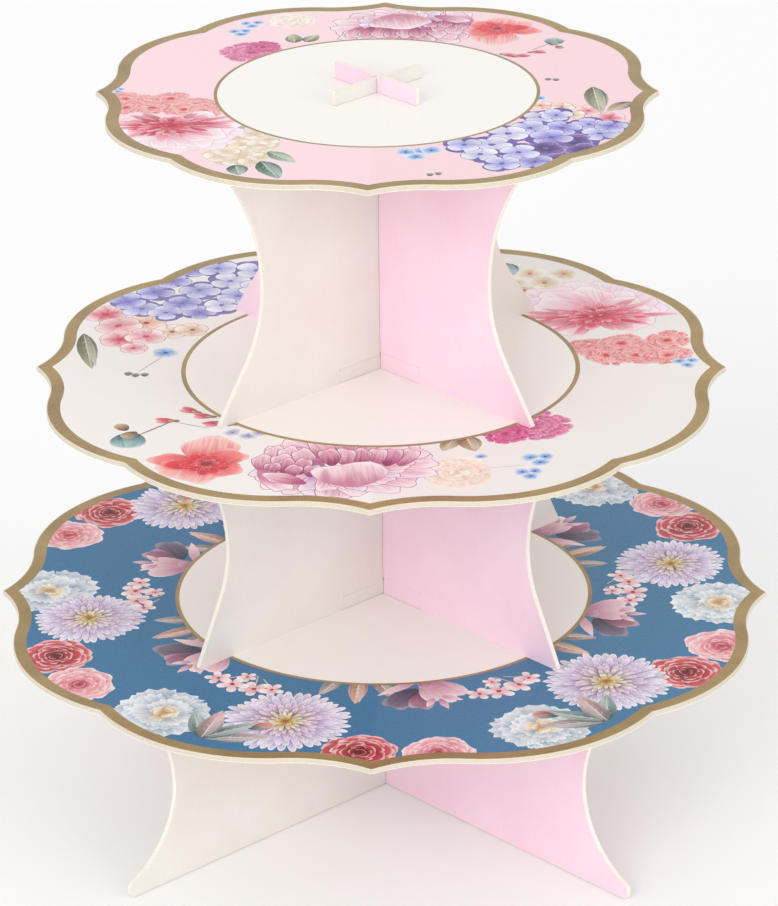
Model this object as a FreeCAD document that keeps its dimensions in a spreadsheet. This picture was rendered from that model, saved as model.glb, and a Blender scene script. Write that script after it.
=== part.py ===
"""Three-tier cake stand of slot-together card boards.

Three scalloped plates stand on three crosses. Each cross is two upright panels on the
diagonals, halved together: the cream panel drops over the pink one. Tabs on top of a cross
pass through the plate above it, and the notches of the next cross sit over them.

Every board is a card core with a paper facing glued to each side, and each of those is a
part of its own. Units are millimetres. The origin is the centre of the crossed feet on the
ground, +Z is up, and the points of the plates lie on X and Y.
"""

import FreeCAD, Part

import math
import os

import Sketcher
from FreeCAD import Placement, Rotation, Vector

# alias, value, meaning
DIMENSIONS = [
    ("board_thickness", 2.0, "card core and its two facings together"),
    ("facing_thickness", 0.2, "one paper facing"),
    ("fit_gap", 0.2, "play on each side of a board in a slot"),
    ("notch_gap", 0.05, "play of a notch over the tab below it"),
    ("facing_lift", 0.3, "how far the facings of the base panels stop above the ground"),
    ("bottom_plate_reach", 152.0, "centre to a point of the bottom plate"),
    ("middle_plate_reach", 134.5, "centre to a point of the middle plate"),
    ("top_plate_reach", 107.1, "centre to a point of the top plate"),
    ("kink_share", 0.972, "radius of the notch between two lobes, over the reach"),
    ("lobe_share", 1.0125, "largest radius of a lobe, over the reach"),
    ("lobe_bearing", 29.5, "degrees from a point to the crown of the next lobe"),
    ("hollow_share", 0.36, "curve radius of the hollow beside a point, over the reach"),
    ("base_height", 83.5, "base panels, ground to plate"),
    ("middle_height", 95.0, "middle panels, plate to plate"),
    ("top_height", 111.5, "top panels, plate to plate"),
    ("tab_reach", 22.5, "centre to the side of a tab"),
    ("pink_tab_rise", 6.8, "how far a pink tab stands above its plate"),
    ("cream_tab_rise", 5.6, "how far a cream tab stands above its plate"),
    ("tab_round", 0.8, "rounding of the upper corners of a tab"),
    ("base_foot_reach", 136.5, "centre to the blunt tip of a base foot"),
    ("base_tip_round", 2.2, "rounding of that tip"),
    ("base_waist_reach", 112.0, "centre to the waist of a base panel"),
    ("base_waist_height", 41.0, "waist above the ground"),
    ("base_lower_curve", 38.0, "curve radius of the side below the waist"),
    ("base_upper_curve", 45.0, "curve radius of the side above the waist"),
    ("middle_waist_reach", 81.3, "centre to the waist of a middle panel"),
    ("middle_waist_height", 45.5, "waist above the bottom plate"),
    ("middle_lower_curve", 45.0, "curve radius of the side below the waist"),
    ("middle_upper_curve", 62.0, "curve radius of the side above the waist"),
    ("middle_flare", 26.0, "degrees from upright of the foot below that curve"),
    ("top_waist_reach", 60.6, "centre to the waist of a top panel"),
    ("top_waist_height", 50.0, "waist above the middle plate"),
    ("top_lower_curve", 50.0, "curve radius of the side below the waist"),
    ("top_upper_curve", 79.0, "curve radius of the side above the waist"),
    ("top_flare", 35.0, "degrees from upright of the foot below that curve"),
    ("foot_tip_round", 0.6, "rounding of the sharp foot tips of the upper crosses"),
]

D = "Dimensions."
CORE = f"({D}board_thickness - 2 * {D}facing_thickness)"
CUT_DEPTH = f"6 * {D}board_thickness"

# The layers of a board, back to front: start and thickness, measured from its back.
LAYERS = {
    "backing": ("0", f"{D}facing_thickness"),
    "core": (f"{D}facing_thickness", CORE),
    "facing": (f"{D}board_thickness - {D}facing_thickness", f"{D}facing_thickness"),
}

# Where each cross stands and each plate lies.
BASE_Z = "0"
BOTTOM_PLATE_Z = f"{D}base_height"
MIDDLE_Z = f"{D}base_height + {D}board_thickness"
MIDDLE_PLATE_Z = f"{MIDDLE_Z} + {D}middle_height"
TOP_Z = f"{MIDDLE_PLATE_Z} + {D}board_thickness"
TOP_PLATE_Z = f"{TOP_Z} + {D}top_height"

PLATES = [("bottom", BOTTOM_PLATE_Z), ("middle", MIDDLE_PLATE_Z), ("top", TOP_PLATE_Z)]
CROSSES = [("base", BASE_Z), ("middle", MIDDLE_Z), ("top", TOP_Z)]
PANEL_BEARING = {"cream": 45.0, "pink": -45.0}

START, END, CENTRE = 1, 2, 3  # the point codes of a sketch element
ORIGIN = (-1, START)
VERTICAL_AXIS = -2

document = FreeCAD.newDocument("tiered_cake_stand")


def make_sheet():
    """The driving dimensions: name, value and meaning in columns A, B and C."""
    table = document.addObject("Spreadsheet::Sheet", "Dimensions")
    for row, (alias, value, meaning) in enumerate(DIMENSIONS, start=1):
        table.set(f"A{row}", alias)
        table.set(f"B{row}", str(value))
        table.set(f"C{row}", meaning)
        table.setAlias(f"B{row}", alias)
    document.recompute()
    return table


sheet = make_sheet()


def size(alias):
    """A driving dimension as a number, for the first guess of a sketch."""
    return float(sheet.get(alias))


# ------------------------------------------------------------------ sketch helpers


def new_body(label, height, bearing=0.0):
    """An empty body, turned about Z and raised to its place in the stand."""
    body = document.addObject("PartDesign::Body", label)
    body.Label = label
    body.Placement = Placement(Vector(0, 0, 0), Rotation(Vector(0, 0, 1), bearing))
    body.setExpression("Placement.Base.z", height)
    return body


def origin_item(body, role):
    """One of the body's own origin planes or axes."""
    return next(item for item in body.Origin.OriginFeatures if item.Role == role)


def new_sketch(body, role, offset="0", turn=0.0):
    """A sketch parallel to an origin plane of the body, offset along its normal."""
    sketch = body.newObject("Sketcher::SketchObject", body.Label + "_sketch")
    sketch.AttachmentSupport = (origin_item(body, role), [""])
    sketch.MapMode = "FlatFace"
    sketch.AttachmentOffset = Placement(Vector(0, 0, 0), Rotation(Vector(0, 0, 1), turn))
    sketch.setExpression("AttachmentOffset.Base.z", offset)
    return sketch


def constrain(sketch, *constraint):
    return sketch.addConstraint(Sketcher.Constraint(*constraint))


def drive(sketch, name, expression, *constraint):
    """Adds a dimension, names it and binds it to the sheet."""
    sketch.renameConstraint(constrain(sketch, *constraint), name)
    sketch.setExpression("Constraints." + name, expression)


def line(sketch, start, end):
    return sketch.addGeometry(Part.LineSegment(Vector(*start, 0), Vector(*end, 0)))


def arc(sketch, centre, radius, start, end):
    """An arc, counter-clockwise from bearing start to bearing end, in degrees."""
    circle = Part.Circle(Vector(*centre, 0), Vector(0, 0, 1), radius)
    angles = math.radians(start), math.radians(end)
    return sketch.addGeometry(Part.ArcOfCircle(circle, *angles))


def meet(sketch, first, first_point, second, second_point, kind="Coincident"):
    constrain(sketch, kind, first, first_point, second, second_point)


def polar(radius, degrees):
    bearing = math.radians(degrees)
    return radius * math.cos(bearing), radius * math.sin(bearing)


def bearing_of(point, centre=(0.0, 0.0)):
    return math.degrees(math.atan2(point[1] - centre[1], point[0] - centre[0])) % 360


# ----------------------------------------------------------------- feature helpers


def pad(body, sketch, length):
    feature = body.newObject("PartDesign::Pad", body.Label + "_pad")
    feature.Profile = sketch
    feature.setExpression("Length", length)
    document.recompute()
    return feature


def cut_slot(body, role, half_width, top, height, turn=0.0):
    """A rectangle centred on the sketch's upright axis, cut through the whole board."""
    sketch = new_sketch(body, role, turn=turn)
    corners = [(-1, 0), (1, 0), (1, 1), (-1, 1)]
    sides = [line(sketch, corners[i], corners[(i + 1) % 4]) for i in range(4)]
    for i in range(4):
        meet(sketch, sides[i], END, sides[(i + 1) % 4], START)
    for side, direction in zip(sides, ("Horizontal", "Vertical") * 2):
        constrain(sketch, direction, side)
    floor_side, right_side, top_side, _ = sides
    width = f"2 * ({half_width})"
    drive(sketch, "width", width, "DistanceX", floor_side, START, floor_side, END, 2)
    drive(sketch, "reach", half_width, "DistanceX", *ORIGIN, right_side, START, 1)
    drive(sketch, "height", height, "DistanceY", right_side, START, right_side, END, 1)
    drive(sketch, "top", top, "DistanceY", *ORIGIN, top_side, START, 1)
    before = body.Tip.Shape.Volume
    pocket = body.newObject("PartDesign::Pocket", body.Label + "_slot")
    pocket.Profile = sketch
    pocket.SideType = "Symmetric"
    pocket.setExpression("Length", CUT_DEPTH)
    document.recompute()
    if not pocket.Shape.Volume < before:
        raise RuntimeError(f"{body.Label}: a slot removed nothing")


def round_corners(body, alias, is_corner):
    """Rounds the short edges across the board whose place (x, z) passes the test."""
    sharp = body.Tip
    names = []
    for number, edge in enumerate(sharp.Shape.Edges, start=1):
        box = edge.BoundBox
        across = box.YLength > box.XLength and box.YLength > box.ZLength
        if across and is_corner(abs(box.Center.x), box.Center.z):
            names.append(f"Edge{number}")
    fillet = body.newObject("PartDesign::Fillet", body.Label + "_round")
    fillet.Base = (sharp, names)
    fillet.setExpression("Radius", D + alias)
    document.recompute()


# -------------------------------------------------------------------------- plates


def plate_outline(sketch, tier):
    """An eighth of a scalloped plate: from a point, along a hollow and a lobe, to a kink."""
    reach_alias = f"{tier}_plate_reach"
    reach = size(reach_alias)
    kink = polar(size("kink_share") * reach, 45)
    crown = size("lobe_share") * reach
    gap = math.radians(45 - size("lobe_bearing"))
    kink_radius = math.hypot(*kink)
    lobe_radius = (crown**2 + kink_radius**2 - 2 * crown * kink_radius * math.cos(gap)) / (
        2 * (crown - kink_radius * math.cos(gap))
    )
    lobe_centre = polar(crown - lobe_radius, size("lobe_bearing"))
    hollow_radius = size("hollow_share") * reach
    # the hollow's circle passes through the point and touches the lobe's circle
    across = math.dist((reach, 0), lobe_centre)
    both = hollow_radius + lobe_radius
    along = (both**2 - hollow_radius**2 + across**2) / (2 * across)
    aside = math.sqrt(both**2 - along**2)
    unit = ((reach - lobe_centre[0]) / across, -lobe_centre[1] / across)
    hollow_centre = (
        lobe_centre[0] + along * unit[0] - aside * unit[1],
        lobe_centre[1] + along * unit[1] + aside * unit[0],
    )
    joint_bearing = bearing_of(hollow_centre, lobe_centre)
    joint = (
        lobe_centre[0] + polar(lobe_radius, joint_bearing)[0],
        lobe_centre[1] + polar(lobe_radius, joint_bearing)[1],
    )
    axis_side = line(sketch, (0, 0), (reach, 0))
    hollow = arc(
        sketch,
        hollow_centre,
        hollow_radius,
        bearing_of(joint, hollow_centre),
        bearing_of((reach, 0), hollow_centre),
    )
    lobe = arc(sketch, lobe_centre, lobe_radius, joint_bearing, bearing_of(kink, lobe_centre))
    kink_side = line(sketch, kink, (0, 0))
    ray = line(sketch, (0, 0), polar(crown, size("lobe_bearing")))
    sketch.setConstruction(ray, True)
    meet(sketch, axis_side, START, *ORIGIN)
    constrain(sketch, "Horizontal", axis_side)
    meet(sketch, axis_side, END, hollow, END)
    meet(sketch, hollow, START, lobe, START, "Tangent")
    meet(sketch, lobe, END, kink_side, START)
    meet(sketch, kink_side, END, *ORIGIN)
    meet(sketch, ray, START, *ORIGIN)
    constrain(sketch, "PointOnObject", lobe, CENTRE, ray)
    constrain(sketch, "PointOnObject", ray, END, lobe)
    own_reach = D + reach_alias
    drive(sketch, "reach", own_reach, "Distance", axis_side, reach)
    drive(sketch, "kink", f"{D}kink_share * {own_reach}", "Distance", kink_side, kink_radius)
    drive(sketch, "crown", f"{D}lobe_share * {own_reach}", "Distance", ray, crown)
    drive(sketch, "hollow", f"{D}hollow_share * {own_reach}", "Radius", hollow, hollow_radius)
    bearing = f"{D}lobe_bearing * 1 deg"
    drive(sketch, "bearing", bearing, "Angle", axis_side, START, ray, START, 0.5)
    constrain(sketch, "Angle", axis_side, START, kink_side, END, math.radians(45))


def plate_layer(tier, height, layer):
    """One layer of a plate: an eighth, mirrored and repeated, with the crossed slot."""
    start, thickness = LAYERS[layer]
    body = new_body(f"{tier}_plate_{layer}", height)
    sketch = new_sketch(body, "XY_Plane", start)
    plate_outline(sketch, tier)
    eighth = pad(body, sketch, thickness)
    whole = body.newObject("PartDesign::MultiTransform", body.Label + "_lobes")
    mirrored = body.newObject("PartDesign::Mirrored", body.Label + "_mirror")
    mirrored.MirrorPlane = (origin_item(body, "XZ_Plane"), [""])
    turned = body.newObject("PartDesign::PolarPattern", body.Label + "_quarters")
    turned.Axis = (origin_item(body, "Z_Axis"), [""])
    turned.Angle = 360
    turned.Occurrences = 4
    whole.Originals = [eighth]
    whole.Transformations = [mirrored, turned]
    body.Tip = whole
    document.recompute()
    slot_half = f"{D}board_thickness / 2 + {D}fit_gap"
    slot_reach = f"{D}tab_reach + {D}fit_gap"
    for bearing in PANEL_BEARING.values():
        cut_slot(body, "XY_Plane", slot_reach, slot_half, f"2 * ({slot_half})", turn=bearing)
    return body


# -------------------------------------------------------------------------- panels


def panel_outline(sketch, tier, colour, standing_edge):
    """Half of a panel: foot, curved side, top edge and tab, up to the middle."""
    foot_low = 0.0 if standing_edge == "0" else size("facing_lift")
    waist = size(f"{tier}_waist_reach")
    waist_height = size(f"{tier}_waist_height")
    lower = size(f"{tier}_lower_curve")
    upper = size(f"{tier}_upper_curve")
    height = size(f"{tier}_height")
    tab_top = height + size("board_thickness") + size(f"{colour}_tab_rise")
    tab_reach = size("tab_reach")
    lower_centre = (waist + lower, waist_height)
    upper_centre = (waist + upper, waist_height)
    rise = height - waist_height
    top_corner = (upper_centre[0] - math.sqrt(upper**2 - rise**2), height)
    blunt = tier == "base"
    if blunt:
        tip_reach = size("base_foot_reach")
        drop = math.sqrt(lower**2 - (lower_centre[0] - tip_reach) ** 2)
        curve_foot = (tip_reach, waist_height - drop)
    else:
        flare = size(f"{tier}_flare")
        curve_foot = (
            lower_centre[0] - lower * math.cos(math.radians(flare)),
            waist_height - lower * math.sin(math.radians(flare)),
        )
        tip_reach = curve_foot[0] + curve_foot[1] * math.tan(math.radians(flare))
    tip = (tip_reach, foot_low)
    base_edge = line(sketch, (0, foot_low), tip)
    tip_side = line(sketch, tip, curve_foot)
    low_curve = arc(sketch, lower_centre, lower, 180, bearing_of(curve_foot, lower_centre))
    high_curve = arc(sketch, upper_centre, upper, bearing_of(top_corner, upper_centre), 180)
    shoulder = line(sketch, top_corner, (tab_reach, height))
    tab_side = line(sketch, (tab_reach, height), (tab_reach, tab_top))
    tab_edge = line(sketch, (tab_reach, tab_top), (0, tab_top))
    middle = line(sketch, (0, tab_top), (0, foot_low))
    meet(sketch, base_edge, END, tip_side, START)
    meet(sketch, tip_side, END, low_curve, END, "Coincident" if blunt else "Tangent")
    meet(sketch, low_curve, START, high_curve, END, "Tangent")
    meet(sketch, high_curve, START, shoulder, START)
    meet(sketch, shoulder, END, tab_side, START)
    meet(sketch, tab_side, END, tab_edge, START)
    meet(sketch, tab_edge, END, middle, START)
    meet(sketch, middle, END, base_edge, START)
    constrain(sketch, "PointOnObject", middle, END, VERTICAL_AXIS)
    for level in (base_edge, shoulder, tab_edge):
        constrain(sketch, "Horizontal", level)
    for upright in (tab_side, middle):
        constrain(sketch, "Vertical", upright)
    if standing_edge == "0":
        constrain(sketch, "PointOnObject", base_edge, START, -1)
    else:
        drive(sketch, "lift", standing_edge, "DistanceY", *ORIGIN, base_edge, START, foot_low)
    own = f"{D}{tier}_"
    own_waist = own + "waist_height"
    tab_rise = f"{D}{tier}_height + {D}board_thickness + {D}{colour}_tab_rise"
    waist_side = (*ORIGIN, low_curve, START, waist_height)
    curve_side = (*ORIGIN, low_curve, CENTRE, waist_height)
    drive(sketch, "waist", own + "waist_reach", "DistanceX", *ORIGIN, low_curve, START, waist)
    drive(sketch, "waist_height", own_waist, "DistanceY", *waist_side)
    drive(sketch, "curve_height", own_waist, "DistanceY", *curve_side)
    drive(sketch, "lower", own + "lower_curve", "Radius", low_curve, lower)
    drive(sketch, "upper", own + "upper_curve", "Radius", high_curve, upper)
    drive(sketch, "height", own + "height", "DistanceY", *ORIGIN, shoulder, END, height)
    drive(sketch, "tab", D + "tab_reach", "DistanceX", *ORIGIN, tab_side, START, tab_reach)
    drive(sketch, "tab_top", tab_rise, "DistanceY", *ORIGIN, tab_side, END, tab_top)
    if blunt:
        constrain(sketch, "Vertical", tip_side)
        drive(sketch, "foot", own + "foot_reach", "DistanceX", *ORIGIN, base_edge, END, tip_reach)
    else:
        lean = math.radians(90 + flare)
        drive(sketch, "flare", f"(90 + {own}flare) * 1 deg", "Angle", tip_side, lean)


def panel_layer(tier, height, colour, layer):
    """One layer of an upright panel: half, mirrored, with its halving slot and notch."""
    start, thickness = LAYERS[layer]
    body = new_body(f"{tier}_{colour}_{layer}", height, PANEL_BEARING[colour])
    sketch = new_sketch(body, "XZ_Plane", f"{start} - {D}board_thickness / 2")
    trimmed = tier == "base" and layer != "core"
    panel_outline(sketch, tier, colour, f"{D}facing_lift" if trimmed else "0")
    half = pad(body, sketch, thickness)
    whole = body.newObject("PartDesign::Mirrored", body.Label + "_mirror")
    whole.Originals = [half]
    whole.MirrorPlane = (origin_item(body, "YZ_Plane"), [""])
    body.Tip = whole
    document.recompute()
    slot_half = f"{D}board_thickness / 2 + {D}fit_gap"
    middle = f"{D}{tier}_height / 2"
    if colour == "cream":
        top = f"{middle} + {D}fit_gap"
        cut_slot(body, "XZ_Plane", slot_half, top, top)
    else:
        top = f"{D}{tier}_height + {D}board_thickness + {D}pink_tab_rise"
        cut_slot(body, "XZ_Plane", slot_half, top, f"{top} - {middle}")
    if tier != "base":
        notch = f"{D}{colour}_tab_rise + {D}notch_gap"
        cut_slot(body, "XZ_Plane", f"{D}tab_reach + {D}notch_gap", notch, notch)
    tab_top = size(f"{tier}_height") + size("board_thickness") + size(f"{colour}_tab_rise")
    near = 0.01
    round_corners(
        body,
        "tab_round",
        lambda x, z: abs(x - size("tab_reach")) < near and abs(z - tab_top) < near,
    )
    waist_height = size(f"{tier}_waist_height")
    foot = max(vertex.X for vertex in body.Tip.Shape.Vertexes if vertex.Z < waist_height)
    alias = "base_tip_round" if tier == "base" else "foot_tip_round"
    round_corners(body, alias, lambda x, z: abs(x - foot) < near and z < size("tab_reach"))
    return body


# ------------------------------------------------------------------------- assembly


def check(item):
    """Stops the build on an object that failed or a shape that isn't one sound solid."""
    if {"Invalid", "Error"} & set(item.State):
        raise RuntimeError(f"{item.Label}: {item.State}")
    if item.isDerivedFrom("Sketcher::SketchObject") and item.solve() != 0:
        raise RuntimeError(f"{item.Label}: the sketch doesn't solve")


def main():
    bodies = []
    for tier, height in PLATES:
        bodies += [plate_layer(tier, height, layer) for layer in LAYERS]
    for tier, height in CROSSES:
        for colour in PANEL_BEARING:
            bodies += [panel_layer(tier, height, colour, layer) for layer in LAYERS]
    document.recompute()
    for item in document.Objects:
        check(item)
    for body in bodies:
        shape = body.Shape
        if shape.isNull() or not shape.isValid() or len(shape.Solids) != 1:
            raise RuntimeError(f"{body.Label}: not one valid solid")
    os.makedirs("parts", exist_ok=True)
    for body in bodies:
        body.Shape.exportStep(f"parts/{body.Label}.step")
        box = body.Shape.BoundBox
        print(f"{body.Label}: {box.XMin:.1f} {box.XMax:.1f}  {box.ZMin:.1f} {box.ZMax:.1f}", end="")
        print(f"  {body.Shape.Volume / 1000:.2f} cm3")


main()
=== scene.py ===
"""Looks of the three-tier card cake stand: paper, card edges, gold foil and floral prints."""

import math
import random

import bmesh
import bpy
import numpy as np
from mathutils import Matrix, Vector
from mathutils.geometry import delaunay_2d_cdt


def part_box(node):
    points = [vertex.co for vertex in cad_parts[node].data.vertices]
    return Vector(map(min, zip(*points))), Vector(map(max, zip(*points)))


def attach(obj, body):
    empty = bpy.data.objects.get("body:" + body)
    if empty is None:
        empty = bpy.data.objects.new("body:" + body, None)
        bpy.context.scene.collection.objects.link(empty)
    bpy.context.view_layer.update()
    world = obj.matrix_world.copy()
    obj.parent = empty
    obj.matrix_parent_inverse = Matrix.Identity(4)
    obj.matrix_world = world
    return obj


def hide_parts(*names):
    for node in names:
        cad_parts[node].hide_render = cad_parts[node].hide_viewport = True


MM = 0.001

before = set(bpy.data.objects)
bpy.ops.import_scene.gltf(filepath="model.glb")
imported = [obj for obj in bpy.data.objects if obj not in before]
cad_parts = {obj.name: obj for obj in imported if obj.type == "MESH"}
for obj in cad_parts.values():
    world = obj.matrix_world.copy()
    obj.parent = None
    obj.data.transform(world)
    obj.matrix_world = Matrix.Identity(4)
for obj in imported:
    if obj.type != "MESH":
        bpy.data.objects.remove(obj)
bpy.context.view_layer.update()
scene = bpy.context.scene
scene.view_settings.view_transform = "Standard"


# ------------------------------------------------------------------ camera and studio


def make_camera():
    """A long lens, a little right of the front and 24 degrees above the table."""
    azimuth, elevation, roll = math.radians(1.936), math.radians(23.869), math.radians(-0.726)
    distance, target = 1.8256, Vector((0.00285, 0.0, 0.14578))
    back = Vector(
        (
            math.sin(azimuth) * math.cos(elevation),
            -math.cos(azimuth) * math.cos(elevation),
            math.sin(elevation),
        )
    )
    right = (-back).cross(Vector((0, 0, 1))).normalized()
    up = right.cross(-back)
    turned_right = right * math.cos(roll) + up * math.sin(roll)
    turned_up = up * math.cos(roll) - right * math.sin(roll)
    data = bpy.data.cameras.new("camera")
    data.sensor_width = 36.0
    data.lens = 184.65
    data.clip_end = 20.0
    camera = bpy.data.objects.new("camera", data)
    scene.collection.objects.link(camera)
    turn = Matrix((turned_right, turned_up, back)).transposed().to_4x4()
    camera.matrix_world = Matrix.Translation(target + back * distance) @ turn
    scene.camera = camera


def area_light(name, place, aim, size, power):
    data = bpy.data.lights.new(name, "AREA")
    data.shape = "RECTANGLE"
    data.size, data.size_y = size
    data.energy = power
    lamp = bpy.data.objects.new(name, data)
    scene.collection.objects.link(lamp)
    lamp.location = place
    lamp.visible_glossy = False
    lamp.rotation_euler = (Vector(aim) - Vector(place)).to_track_quat("-Z", "Y").to_euler()


def make_studio():
    world = bpy.data.worlds.new("studio")
    world.use_nodes = True
    background = world.node_tree.nodes["Background"]
    background.inputs["Color"].default_value = (1.0, 1.0, 1.0, 1.0)
    background.inputs["Strength"].default_value = 0.86
    scene.world = world
    area_light("key", (-3.0, -6.6, 3.66), (0, 0, 0.12), (4.8, 3.6), 207.0)
    area_light("fill", (5.7, -4.5, 1.86), (0, 0, 0.12), (4.5, 4.5), 117.0)
    bpy.ops.mesh.primitive_plane_add(size=40.0, location=(0, 0, -0.0002))
    floor = bpy.context.object
    floor.name = "studio_floor"
    floor_material = bpy.data.materials.new("studio_floor")
    floor_material.use_nodes = True
    shader = floor_material.node_tree.nodes["Principled BSDF"]
    shader.inputs["Base Color"].default_value = (0.98, 0.98, 0.98, 1)
    shader.inputs["Roughness"].default_value = 0.9
    floor.data.materials.append(floor_material)


# -------------------------------------------------------------------- material helpers


def linear(colour):
    """A display colour of 0 to 255 as the linear one that shaders use."""
    shares = [channel / 255 for channel in colour]
    return tuple(s / 12.92 if s <= 0.04045 else ((s + 0.055) / 1.055) ** 2.4 for s in shares)


def opaque(colour):
    return (*linear(colour), 1)


def new_material(name, roughness, **settings):
    """A material, its node tree and its shader, with the shader's constant settings made."""
    material = bpy.data.materials.new(name)
    material.use_nodes = True
    tree = material.node_tree
    shader = tree.nodes["Principled BSDF"]
    shader.inputs["Roughness"].default_value = roughness
    for socket, value in settings.items():
        label = socket.replace("_", " ").title().replace("Ior", "IOR")
        shader.inputs[label].default_value = value
    return material, tree, shader


def node(tree, kind, inputs=(), **settings):
    """Adds a node. Inputs are (socket, value or another node's output) pairs."""
    made = tree.nodes.new("ShaderNode" + kind)
    for key, value in settings.items():
        setattr(made, key, value)
    for socket, value in inputs:
        if isinstance(value, bpy.types.NodeSocket):
            tree.links.new(value, made.inputs[socket])
        else:
            made.inputs[socket].default_value = value
    return made


def maths(tree, operation, first, second=0.0, clamp=False):
    inputs = ((0, first), (1, second))
    return node(tree, "Math", inputs, operation=operation, use_clamp=clamp).outputs[0]


def mixed(tree, factor, first, second, blend="MIX"):
    """Colours first and second, blended by the factor."""
    inputs = (("Factor", factor), (6, first), (7, second))
    return node(tree, "Mix", inputs, data_type="RGBA", blend_type=blend).outputs[2]


def spread(tree, value, low, high, to_low, to_high, smooth=False):
    """The value's range from low to high, moved to another range and held within it."""
    kind = "SMOOTHSTEP" if smooth else "LINEAR"
    inputs = (("Value", value), (1, low), (2, high), (3, to_low), (4, to_high))
    return node(tree, "MapRange", inputs, interpolation_type=kind).outputs[0]


def noise(tree, vector, scale, detail=2.0, roughness=0.5):
    inputs = (("Vector", vector), ("Scale", scale), ("Detail", detail), ("Roughness", roughness))
    return node(tree, "TexNoise", inputs).outputs["Fac"]


def place_of(tree):
    """The place on the object, in metres."""
    return node(tree, "TexCoord").outputs["Object"]


def stretched(tree, vector, scale):
    inputs = ((0, vector), (1, scale))
    return node(tree, "VectorMath", inputs, operation="MULTIPLY").outputs[0]


def bump(tree, shader, height, distance, strength=1.0):
    inputs = (("Height", height), ("Distance", distance), ("Strength", strength))
    tree.links.new(node(tree, "Bump", inputs).outputs[0], shader.inputs["Normal"])


# ------------------------------------------------------------------------- card and paper


def paper(name, colour, shade, roughness):
    """Coated paper: a soft cloudy tone, short fibres and a faint tooth in the coating."""
    material, tree, shader = new_material(name, roughness, coat_weight=0.15, coat_roughness=0.3)
    place = place_of(tree)
    cloud = noise(tree, place, 22.0, 3.0)
    fibre = noise(tree, stretched(tree, place, (900.0, 900.0, 260.0)), 1.0, 3.0, 0.6)
    tone = mixed(tree, spread(tree, cloud, 0.35, 0.7, 0.0, 1.0), opaque(colour), opaque(shade))
    fleck_share = spread(tree, fibre, 0.3, 0.75, 0.0, 0.1)
    flecked = mixed(tree, fleck_share, tone, opaque(shade), "MULTIPLY")
    tree.links.new(flecked, shader.inputs["Base Color"])
    dullness = spread(tree, fibre, 0.3, 0.7, roughness - 0.05, roughness + 0.07)
    tree.links.new(dullness, shader.inputs["Roughness"])
    tooth = noise(tree, place, 2600.0, 2.0)
    bump(tree, shader, maths(tree, "ADD", tooth, fibre), 0.00002, 0.35)
    return material


PLY_WAVES = 15700.0  # radians per metre across the board, so each ply is 0.4 mm


def card_edge(name, across, pale, grey):
    """The cut edge of board: pale plies pressed together across it, with torn fibres."""
    material, tree, shader = new_material(name, 0.75)
    place = place_of(tree)
    depth = node(tree, "VectorMath", ((0, place), (1, across)), operation="DOT_PRODUCT")
    plies = maths(tree, "MULTIPLY", depth.outputs["Value"], PLY_WAVES)
    waviness = maths(tree, "MULTIPLY", noise(tree, place, 180.0, 2.0), 7.0)
    ply = maths(tree, "SINE", maths(tree, "ADD", plies, waviness))
    torn = noise(tree, place, 1500.0, 4.0, 0.65)
    ply_share = spread(tree, ply, -1.0, 1.0, 0.0, 0.3)
    torn_share = spread(tree, torn, 0.4, 0.75, 0.0, 0.45)
    share = maths(tree, "ADD", ply_share, torn_share, True)
    tree.links.new(mixed(tree, share, opaque(pale), opaque(grey)), shader.inputs["Base Color"])
    bump(tree, shader, maths(tree, "ADD", maths(tree, "MULTIPLY", ply, 0.4), torn), 0.00006, 0.6)
    return material


def gold_foil():
    """Matt gold ink, a little cloudy, with fine grain."""
    settings = {"metallic": 0.55, "coat_weight": 0.3, "coat_roughness": 0.15}
    material, tree, shader = new_material("gold_foil", 0.42, **settings)
    place = place_of(tree)
    cloud = noise(tree, place, 35.0, 3.0)
    grain = noise(tree, place, 2200.0, 2.0)
    cloud_share = spread(tree, cloud, 0.3, 0.7, 0.0, 0.7)
    grain_share = spread(tree, grain, 0.3, 0.7, -0.15, 0.3)
    share = maths(tree, "ADD", cloud_share, grain_share, True)
    gold = mixed(tree, share, opaque((182, 154, 96)), opaque((142, 114, 64)))
    tree.links.new(gold, shader.inputs["Base Color"])
    tree.links.new(spread(tree, grain, 0.3, 0.7, 0.34, 0.5), shader.inputs["Roughness"])
    bump(tree, shader, grain, 0.00002, 0.4)
    return material


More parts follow.
